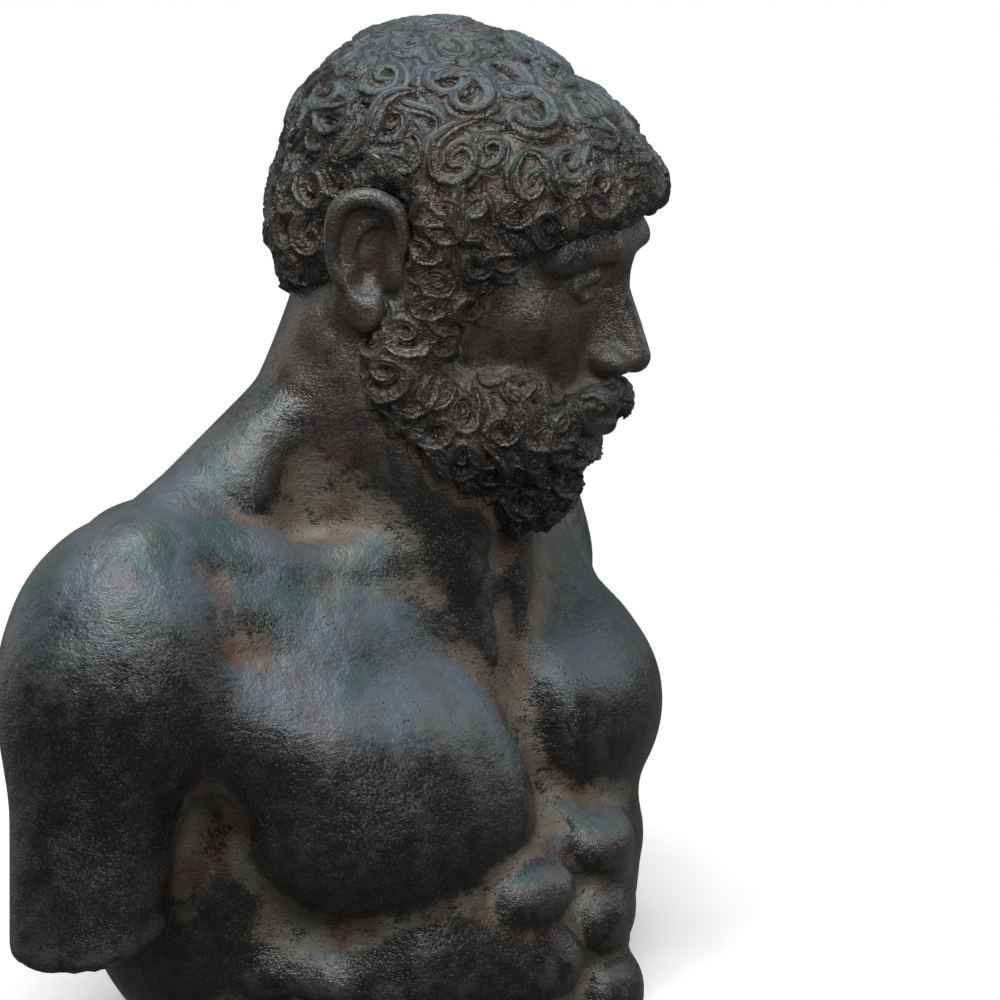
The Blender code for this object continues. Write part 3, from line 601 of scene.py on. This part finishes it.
def raise_lock(height, strand, spots, facing, middle, out, way, path, level, relief, hand):
    """Raises one lock where it lies higher than those there, and notes the place across it."""
    reach = np.abs(path[:, :2]).max() + path[:, 2].max()
    rows = np.flatnonzero((np.abs(spots - middle) < reach).all(1))
    off = spots[rows] - middle
    same_side = (np.abs(off @ out) < reach * 0.7) & (facing[rows] @ out > 0.2)
    rows = rows[same_side]
    off = spots[rows] - middle
    flat = np.stack([off @ way, off @ np.cross(out, way)], 1)
    lift, side = lift_of_lock(flat, path, level, relief, hand)
    higher = lift > height[rows]
    strand[rows[higher]] = side[higher]
    height[rows[higher]] = lift[higher]


def lock_heights(spots, facing):
    """How far each place of the hair rises: long locks first, then curls, then long locks across them."""
    rng = np.random.default_rng(SEED)
    roots, radii = lock_roots(rng)
    outs = directions(hair, roots)
    height = np.zeros(len(spots), np.float32)
    strand = np.zeros(len(spots), np.float32)
    for layer, share in enumerate(LAYER_SHARES):
        chances = rng.random((len(roots), 8))
        for root, radius, out, chance in zip(roots, radii, outs, chances):
            at_crown = np.clip((root[2] - 0.22) / 0.2, 0, 1)
            depth = LOCK_RELIEF * (1 - CROWN_FLATNESS * at_crown)
            if chance[7] > share * (1 - at_crown * CROWN_CALM[layer]):
                continue
            way = lie_of_hair(root)
            way -= out * (way @ out)
            way /= np.linalg.norm(way) + 1e-6
            swing = (chance[0] - 0.5) * 2.6
            across = np.cross(out, way)
            way = way * math.cos(swing) + across * math.sin(swing)
            hand = 1 if chance[1] > 0.5 else -1
            radius *= 0.8 + 0.4 * chance[2]
            rise = radius * (0.02 + 0.16 * layer * (0.3 + 0.7 * chance[6]))
            if layer == 1:
                path = curl_path(radius, hand, 0.65 + 0.75 * chance[4], 0.7 + 1.2 * chance[5])
                raise_lock(height, strand, spots, facing, root, out, way, path, rise, depth, hand)
            else:
                middle = root + across * (chance[3] - 0.5) * radius * 2
                width, relief = WAVE_FORMS[layer]
                path = wave_path(radius, hand, 0.25 + 0.45 * chance[4], width)
                relief *= depth
                raise_lock(height, strand, spots, facing, middle, out, way, path, rise, relief, 0)
    return height, strand


def surface_mesh():
    """Mesh of squares over the bust's surface, from the field on a grid of cells."""
    low = np.array((-FIELD_HALF_WIDTH, FIELD_FRONT_Y, UNDERSIDE_Z - 4 * CELL), np.float32)
    high = np.array((FIELD_HALF_WIDTH, FIELD_BACK_Y, FIELD_TOP_Z), np.float32)
    counts = np.ceil((high - low) / CELL).astype(int)
    axes = [low[k] + CELL * np.arange(counts[k], dtype=np.float32) for k in range(3)]
    cells = np.stack(np.meshgrid(*axes, indexing="ij"), -1).reshape(-1, 3)
    values = bust(cells).reshape(counts)
    # The lowest layer is outside, so that the surface closes below the underside
    values[:, :, 0] = CELL
    grid = openvdb.FloatGrid(FAR)
    grid.copyFromArray(values)
    points, squares = grid.convertToQuads(0)
    mesh = bpy.data.meshes.new("bust")
    mesh.from_pydata((points * CELL + low).tolist(), [], squares.tolist())
    return mesh


def on_head(point):
    """Whether a point belongs to the head, its beard included."""
    _, y, z = to_head(np.array(point, np.float32)[None])[0]
    lowest = NAPE_Z + min(y - NAPE_FRONT_Y, 0.0)
    return z > max(lowest, BEARD_END_Z)


def refine_head(mesh):
    bm = bmesh.new()
    bm.from_mesh(mesh)
    flags = {vert: on_head(vert.co) for vert in bm.verts}
    edges = [edge for edge in bm.edges if all(flags[vert] for vert in edge.verts)]
    bmesh.ops.subdivide_edges(bm, edges=edges, cuts=HEAD_CUTS, use_grid_fill=True)
    bmesh.ops.recalc_face_normals(bm, faces=bm.faces[:])
    bm.to_mesh(mesh)
    bm.free()


def vertex_rows(mesh, name):
    """The places ("co") or the normals ("normal") of the vertices, a row each."""
    rows = np.empty(len(mesh.vertices) * 3, np.float32)
    mesh.vertices.foreach_get(name, rows)
    return rows.reshape(-1, 3)


def smoothed_places(mesh, rounds):
    """The vertices after a number of rounds in which each moves halfway to the mean of its neighbours."""
    places = vertex_rows(mesh, "co")
    count = len(places)
    ends = np.empty(len(mesh.edges) * 2, np.int32)
    mesh.edges.foreach_get("vertices", ends)
    first, second = ends.reshape(-1, 2).T
    neighbours = np.bincount(first, minlength=count) + np.bincount(second, minlength=count)
    for _ in range(rounds):
        total = np.empty_like(places)
        for axis in range(3):
            column = places[:, axis]
            total[:, axis] = np.bincount(first, column[second], count)
            total[:, axis] += np.bincount(second, column[first], count)
        places = (places + total / neighbours[:, None]) / 2
    return places


def carve(mesh):
    """Settles the mesh on the bust's surface and raises the locks."""
    for rounds in (0, 4):
        points = settled(smoothed_places(mesh, rounds))
        mesh.vertices.foreach_set("co", points.ravel())
    outward = directions(bust, points)
    skin, locks = skin_and_hair(points)
    rows = np.flatnonzero(skin - locks > -HAIR_OVERLAP)
    lift, strand = lock_heights(to_head(points[rows]), outward[rows] @ HEAD_AXES)
    # The edge of the hair runs round its locks: a high one reaches out over the skin
    edge = (skin - locks)[rows] + lift - HAIR_OVERLAP / 2
    lift *= smooth_step(*HAIR_EDGE, edge)
    points[rows] += outward[rows] * lift[:, None]
    mesh.vertices.foreach_set("co", points.ravel())
    strands = np.zeros(len(points), np.float32)
    between = np.where((skin - locks)[rows] > 0, BETWEEN_LOCKS, 0)
    strands[rows] = np.where(lift > LEAST_LIFT, strand, between)
    return strands


def cut_flat_below(mesh):
    bm = bmesh.new()
    bm.from_mesh(mesh)
    whole = bm.verts[:] + bm.edges[:] + bm.faces[:]
    cut = bmesh.ops.bisect_plane(bm, geom=whole, dist=1e-5, plane_co=(0, 0, UNDERSIDE_Z),
                                 plane_no=(0, 0, -1), clear_outer=True)
    edge_loop = [item for item in cut["geom_cut"] if isinstance(item, bmesh.types.BMEdge)]
    bmesh.ops.contextual_create(bm, geom=edge_loop)
    bmesh.ops.recalc_face_normals(bm, faces=bm.faces[:])
    bm.to_mesh(mesh)
    bm.free()


def store(mesh, name, values):
    layer = mesh.attributes.new(name, "FLOAT", "POINT")
    layer.data.foreach_set("value", np.ascontiguousarray(values, np.float32))


def note_recesses(mesh):
    """Stores how far each point lies below the smoothed surface, grooves and broad hollows apart."""
    places = vertex_rows(mesh, "co")
    outward = vertex_rows(mesh, "normal")
    for name, rounds, depth in RECESSES:
        sunk = ((smoothed_places(mesh, rounds) - places) * outward).sum(1)
        store(mesh, name, sunk / depth)


def sculpted_bust():
    mesh = surface_mesh()
    refine_head(mesh)
    strands = carve(mesh)
    store(mesh, "strand", strands)
    note_recesses(mesh)
    cut_flat_below(mesh)
    to_floor = Matrix.Translation((0, -UNDERSIDE_MIDDLE_Y, -UNDERSIDE_Z))
    mesh.transform(Matrix.Scale(HEAD_HEIGHT, 4) @ to_floor)
    mesh.shade_smooth()
    mesh.name = "bronze_bust"
    bronze_bust = bpy.data.objects.new("bronze_bust", mesh)
    bpy.context.scene.collection.objects.link(bronze_bust)
    return bronze_bust


class Nodes:
    """Builds one node tree: each method adds a node and gives its output."""

    def __init__(self, tree):
        self.tree = tree

    def add(self, kind, inputs=(), output=0, **settings):
        made = self.tree.nodes.new("ShaderNode" + kind)
        for name, value in settings.items():
            setattr(made, name, value)
        for name, value in dict(inputs).items():
            if isinstance(value, bpy.types.NodeSocket):
                self.tree.links.new(value, made.inputs[name])
            else:
                made.inputs[name].default_value = value
        return made.outputs[output]

    def maths(self, operation, a, b=0.0):
        return self.add("Math", {0: a, 1: b}, operation=operation)

    def total(self, *terms):
        """Sum of (value, weight) pairs."""
        result = None
        for value, weight in terms:
            weighted = self.maths("MULTIPLY", value, weight)
            result = weighted if result is None else self.maths("ADD", result, weighted)
        return result

    def ramp(self, value, low, high, to_low=0.0, to_high=1.0):
        inputs = {"Value": value, "From Min": low, "From Max": high, "To Min": to_low, "To Max": to_high}
        return self.add("MapRange", inputs, interpolation_type="SMOOTHSTEP")

    def mix(self, share, a, b):
        """Goes from colour a to colour b. Inputs 6 and 7 and output 2 are the node's colour sockets."""
        return self.add("Mix", {0: share, 6: a, 7: b}, output=2, data_type="RGBA")

    def noise(self, where, scale, detail=3.0, roughness=0.6):
        inputs = {"Vector": where, "Scale": scale, "Detail": detail, "Roughness": roughness}
        return self.add("TexNoise", inputs, output="Fac")

    def attribute(self, name):
        return self.add("Attribute", output="Fac", attribute_name=name)


def surface_signs(n):
    """What the patina goes by at each place: noises, recesses, locks, slope and height above the floor."""
    signs = SimpleNamespace()
    signs.where = n.add("TexCoord", output="Object")
    signs.up = n.add("SeparateXYZ", {0: n.add("NewGeometry", output="Normal")}, output="Z")
    signs.height = n.add("SeparateXYZ", {0: signs.where}, output="Z")
    signs.groove = n.attribute("groove")
    signs.hollow = n.attribute("hollow")
    signs.patches = n.noise(signs.where, PATCH_SCALE, 4.0, 0.6)
    signs.blotches = n.noise(signs.where, BLOTCH_SCALE, 4.0, 0.65)
    signs.grain = n.noise(signs.where, GRAIN_SCALE, 2.0, 0.7)
    signs.fine = n.noise(signs.where, FINE_SCALE, 1.0, 0.5)
    upright = n.add("Mapping", {"Vector": signs.where, "Scale": (0.25, 0.25, 1.0)})
    signs.wrinkles = n.noise(upright, WRINKLE_SCALE, 3.0, 0.6)
    strand = n.attribute("strand")
    signs.in_hair = n.ramp(n.maths("ABSOLUTE", strand), 0.001, BETWEEN_LOCKS)
    turns = n.maths("MULTIPLY", strand, STRAND_LINES * 2 * math.pi)
    signs.lines = n.maths("MULTIPLY", signs.in_hair, n.maths("COSINE", turns))
    return signs


def bare_metal(n, signs):
    """The metal's colour where nothing has bloomed, and the shares of its light specks and brown film."""
    ground = n.mix(n.ramp(signs.patches, 0.42, 0.58), CHARCOAL, BROWN_BLACK)
    specks = n.total((signs.grain, 0.5), (signs.fine, 0.6), (signs.blotches, 0.5))
    specks = n.ramp(specks, 0.76, 1.02, 0.0, 0.7)
    broken = n.total((signs.patches, 0.6), (signs.blotches, 0.7), (signs.grain, 0.6))
    broken = n.ramp(broken, 0.60, 1.20)
    film = n.maths("MULTIPLY", n.ramp(signs.height, *NECK_HEIGHTS, 0.12, 1.0), broken)
    film = n.maths("MULTIPLY", film, n.ramp(signs.height, *TEMPLE_HEIGHTS, 1.0, 0.45))
    return n.mix(specks, n.mix(film, ground, FILM), SPECK), specks, film


def bloom(n, signs):
    """Share and colour of the bloom: most on top, in patches that break up along the wrinkles."""
    by_height = n.total((n.ramp(signs.height, *BREAST_HEIGHTS), 1.0),
                        (n.ramp(signs.height, *COLLAR_HEIGHTS), -1.0),
                        (n.ramp(signs.height, *CROWN_HEIGHTS), 1.0))
    amount = n.total((n.ramp(signs.up, 0.12, 0.72), 2.0), (signs.patches, 2.4), (signs.blotches, 1.1),
                     (signs.in_hair, -0.35), (signs.lines, 0.15), (signs.groove, -0.45), (by_height, 1.0),
                     (signs.wrinkles, 1.3), (signs.grain, 1.1))
    colour = n.mix(n.ramp(n.noise(signs.where, GREEN_SCALE), 0.47, 0.62, 0.0, 0.85), BLOOM, GREEN)
    olive = n.total((n.noise(signs.where, OLIVE_SCALE, 4.0, 0.7), 1.0), (signs.grain, 0.3))
    colour = n.mix(n.ramp(olive, 0.66, 0.82, 0.0, 0.75), colour, OLIVE)
    colour = n.mix(n.ramp(n.noise(signs.where, VIOLET_SCALE), 0.50, 0.66, 0.0, 0.8), colour, VIOLET)
    return n.ramp(amount, *BLOOM_STARTS_AND_FILLS), colour


def dirt(n, signs):
    """Share and colour of the tan and rust dirt that lies in grooves and hollows."""
    depth = n.total((n.ramp(signs.groove, 0.02, 0.6), 1.4), (n.ramp(signs.hollow, 0.08, 0.8), 1.5))
    broken = n.ramp(n.total((signs.blotches, 1.2), (signs.wrinkles, 0.5), (signs.grain, 0.6)), 0.80, 1.50)
    share = n.ramp(n.maths("MULTIPLY", depth, broken), 0.0, 1.2, 0.0, 0.9)
    return share, n.mix(n.ramp(n.noise(signs.where, RUST_SCALE), 0.42, 0.68), TAN, RUST)


def pinholes(n, signs):
    spots = n.add("TexVoronoi", {"Vector": signs.where, "Scale": PINHOLE_SCALE}, output="Distance")
    here_and_there = n.ramp(signs.blotches, 0.52, 0.62, 0.0, 0.9)
    # The pinholes' mask, for their dents and for the painted shade inside them
    return n.maths("MULTIPLY", n.ramp(spots, 0.15, 0.30, 1.0, 0.0), here_and_there)


def painted_shade_and_wear(n, signs, colour, pits):
    """The colour with painted shade in the hair's deep grooves and pinholes, and the ridges rubbed
    lighter.
    """
    # Painted shade: the deepest grooves of the hair go near-black
    shadow = n.maths("MULTIPLY", n.ramp(signs.groove, 0.9, 1.7, 0.0, 0.8), signs.in_hair)
    colour = n.mix(shadow, colour, DEEP_SHADE)
    ridge = n.ramp(signs.groove, -0.2, -0.9, 0.0, 0.5)
    rubbed = n.maths("MULTIPLY", ridge, n.ramp(signs.blotches, 0.38, 0.56))
    colour = n.mix(rubbed, colour, RUBBED)
    # Painted shade inside the pinholes
    return n.mix(pits, colour, DEEP_SHADE)


def cast_relief(n, signs, pits):
    """The bumped normal: broad waves, grain, wrinkles, strands, chisel marks in the hair and pinholes."""
    chisel = n.maths("MULTIPLY", signs.in_hair, n.noise(signs.where, CHISEL_SCALE, 3.0, 0.7))
    height = n.total((signs.grain, 1.0), (signs.wrinkles, 0.8), (signs.blotches, 4.0),
                     (signs.patches, 8.0), (signs.fine, 0.4), (signs.lines, 0.8), (pits, -0.8),
                     (chisel, 5.0))
    return n.add("Bump", {"Height": height, "Strength": 1.0, "Distance": BUMP_DISTANCE}, output="Normal")


def bronze_material():
    """Dark glossy bronze with a blue-grey bloom on top and brown dirt in the recesses."""
    material = bpy.data.materials.new("patinated_bronze")
    material.use_nodes = True
    n = Nodes(material.node_tree)
    signs = surface_signs(n)
    metal_colour, specks, film = bare_metal(n, signs)
    bloom_share, bloom_colour = bloom(n, signs)
    dirt_share, dirt_colour = dirt(n, signs)
    pits = pinholes(n, signs)
    colour = n.mix(bloom_share, metal_colour, bloom_colour)
    # Painted shade goes into the hair's deep grooves and the pinholes here, and the ridges are rubbed
    # lighter
    colour = painted_shade_and_wear(n, signs, n.mix(dirt_share, colour, dirt_colour), pits)
    dull = n.total((n.maths("MAXIMUM", bloom_share, specks), 0.26), (signs.blotches, 0.2),
                   (dirt_share, 0.3), (signs.in_hair, 0.08), (film, 0.04))
    shader = material.node_tree.nodes["Principled BSDF"]
    links = material.node_tree.links
    links.new(colour, shader.inputs["Base Color"])
    links.new(n.ramp(dull, 0.05, 0.55, *GLOSSY_AND_DULL), shader.inputs["Roughness"])
    links.new(cast_relief(n, signs, pits), shader.inputs["Normal"])
    shader.inputs["Metallic"].default_value = 0.15
    shader.inputs["Specular IOR Level"].default_value = 0.6
    return material


def floor():
    """A pale round floor that fades out into the white surroundings."""
    mesh = bpy.data.meshes.new("studio_floor")
    bm = bmesh.new()
    bmesh.ops.create_circle(bm, cap_ends=True, segments=96, radius=FLOOR_RADIUS)
    bm.to_mesh(mesh)
    bm.free()
    material = bpy.data.materials.new("pale_floor")
    material.use_nodes = True
    n = Nodes(material.node_tree)
    shader = material.node_tree.nodes["Principled BSDF"]
    shader.inputs["Base Color"].default_value = (0.95, 0.95, 0.945, 1.0)
    shader.inputs["Emission Color"].default_value = (1.0, 1.0, 1.0, 1.0)
    shader.inputs["Emission Strength"].default_value = FLOOR_GLOW
    shader.inputs["Roughness"].default_value = 0.9
    where = n.add("TexCoord", output="Object")
    distance = n.add("VectorMath", {0: where}, output="Value", operation="LENGTH")
    solid = n.ramp(distance, FLOOR_RADIUS * 0.25, FLOOR_RADIUS * 0.98, 1.0, 0.0)
    material.node_tree.links.new(solid, shader.inputs["Alpha"])
    mesh.materials.append(material)
    studio_floor = bpy.data.objects.new("studio_floor", mesh)
    studio_floor.visible_glossy = False
    studio_floor.visible_diffuse = False
    bpy.context.scene.collection.objects.link(studio_floor)
    return studio_floor


def surroundings():
    """White all round for the camera, and a softer even light on the bust."""
    world = bpy.data.worlds.new("white_studio")
    world.use_nodes = True
    bpy.context.scene.world = world
    n = Nodes(world.node_tree)
    seen = n.add("LightPath", output="Is Camera Ray")
    strength = n.ramp(seen, 0.0, 1.0, FILL_STRENGTH, 1.0)
    backdrop = world.node_tree.nodes["Background"]
    backdrop.inputs["Color"].default_value = (1.0, 1.0, 1.0, 1.0)
    world.node_tree.links.new(strength, backdrop.inputs["Strength"])


def softbox(name, place, size, watts):
    """A square lamp at a place given as (right, up, toward the camera) of the aim point, in metres."""
    lamp = bpy.data.lights.new(name, "AREA")
    lamp.energy = watts
    lamp.size = size
    light = bpy.data.objects.new(name, lamp)
    bpy.context.scene.collection.objects.link(light)
    light.location = AIM + SCREEN_RIGHT * place[0] + Vector((0, 0, place[1])) + TOWARD_CAMERA * place[2]
    light.rotation_euler = (light.location - AIM).to_track_quat("Z", "Y").to_euler()


def camera():
    lens = bpy.data.cameras.new("photo_camera")
    lens.lens = 180
    lens.sensor_width = 36
    lens.clip_end = 50
    seen_from = bpy.data.objects.new("photo_camera", lens)
    bpy.context.scene.collection.objects.link(seen_from)
    seen_from.location = AIM + TOWARD_CAMERA * (PICTURE_WIDTH * lens.lens / lens.sensor_width)
    seen_from.rotation_euler = TOWARD_CAMERA.to_track_quat("Z", "Y").to_euler()
    bpy.context.scene.camera = seen_from


def main():
    bronze_bust = sculpted_bust()
    bronze_bust.data.materials.append(bronze_material())
    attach(bronze_bust, "root")
    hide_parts("bust")
    floor()
    surroundings()
    for name, place, size, watts in SOFTBOXES:
        softbox(name, place, size, watts)
    camera()
    bpy.context.scene.view_settings.view_transform = "Standard"


main()
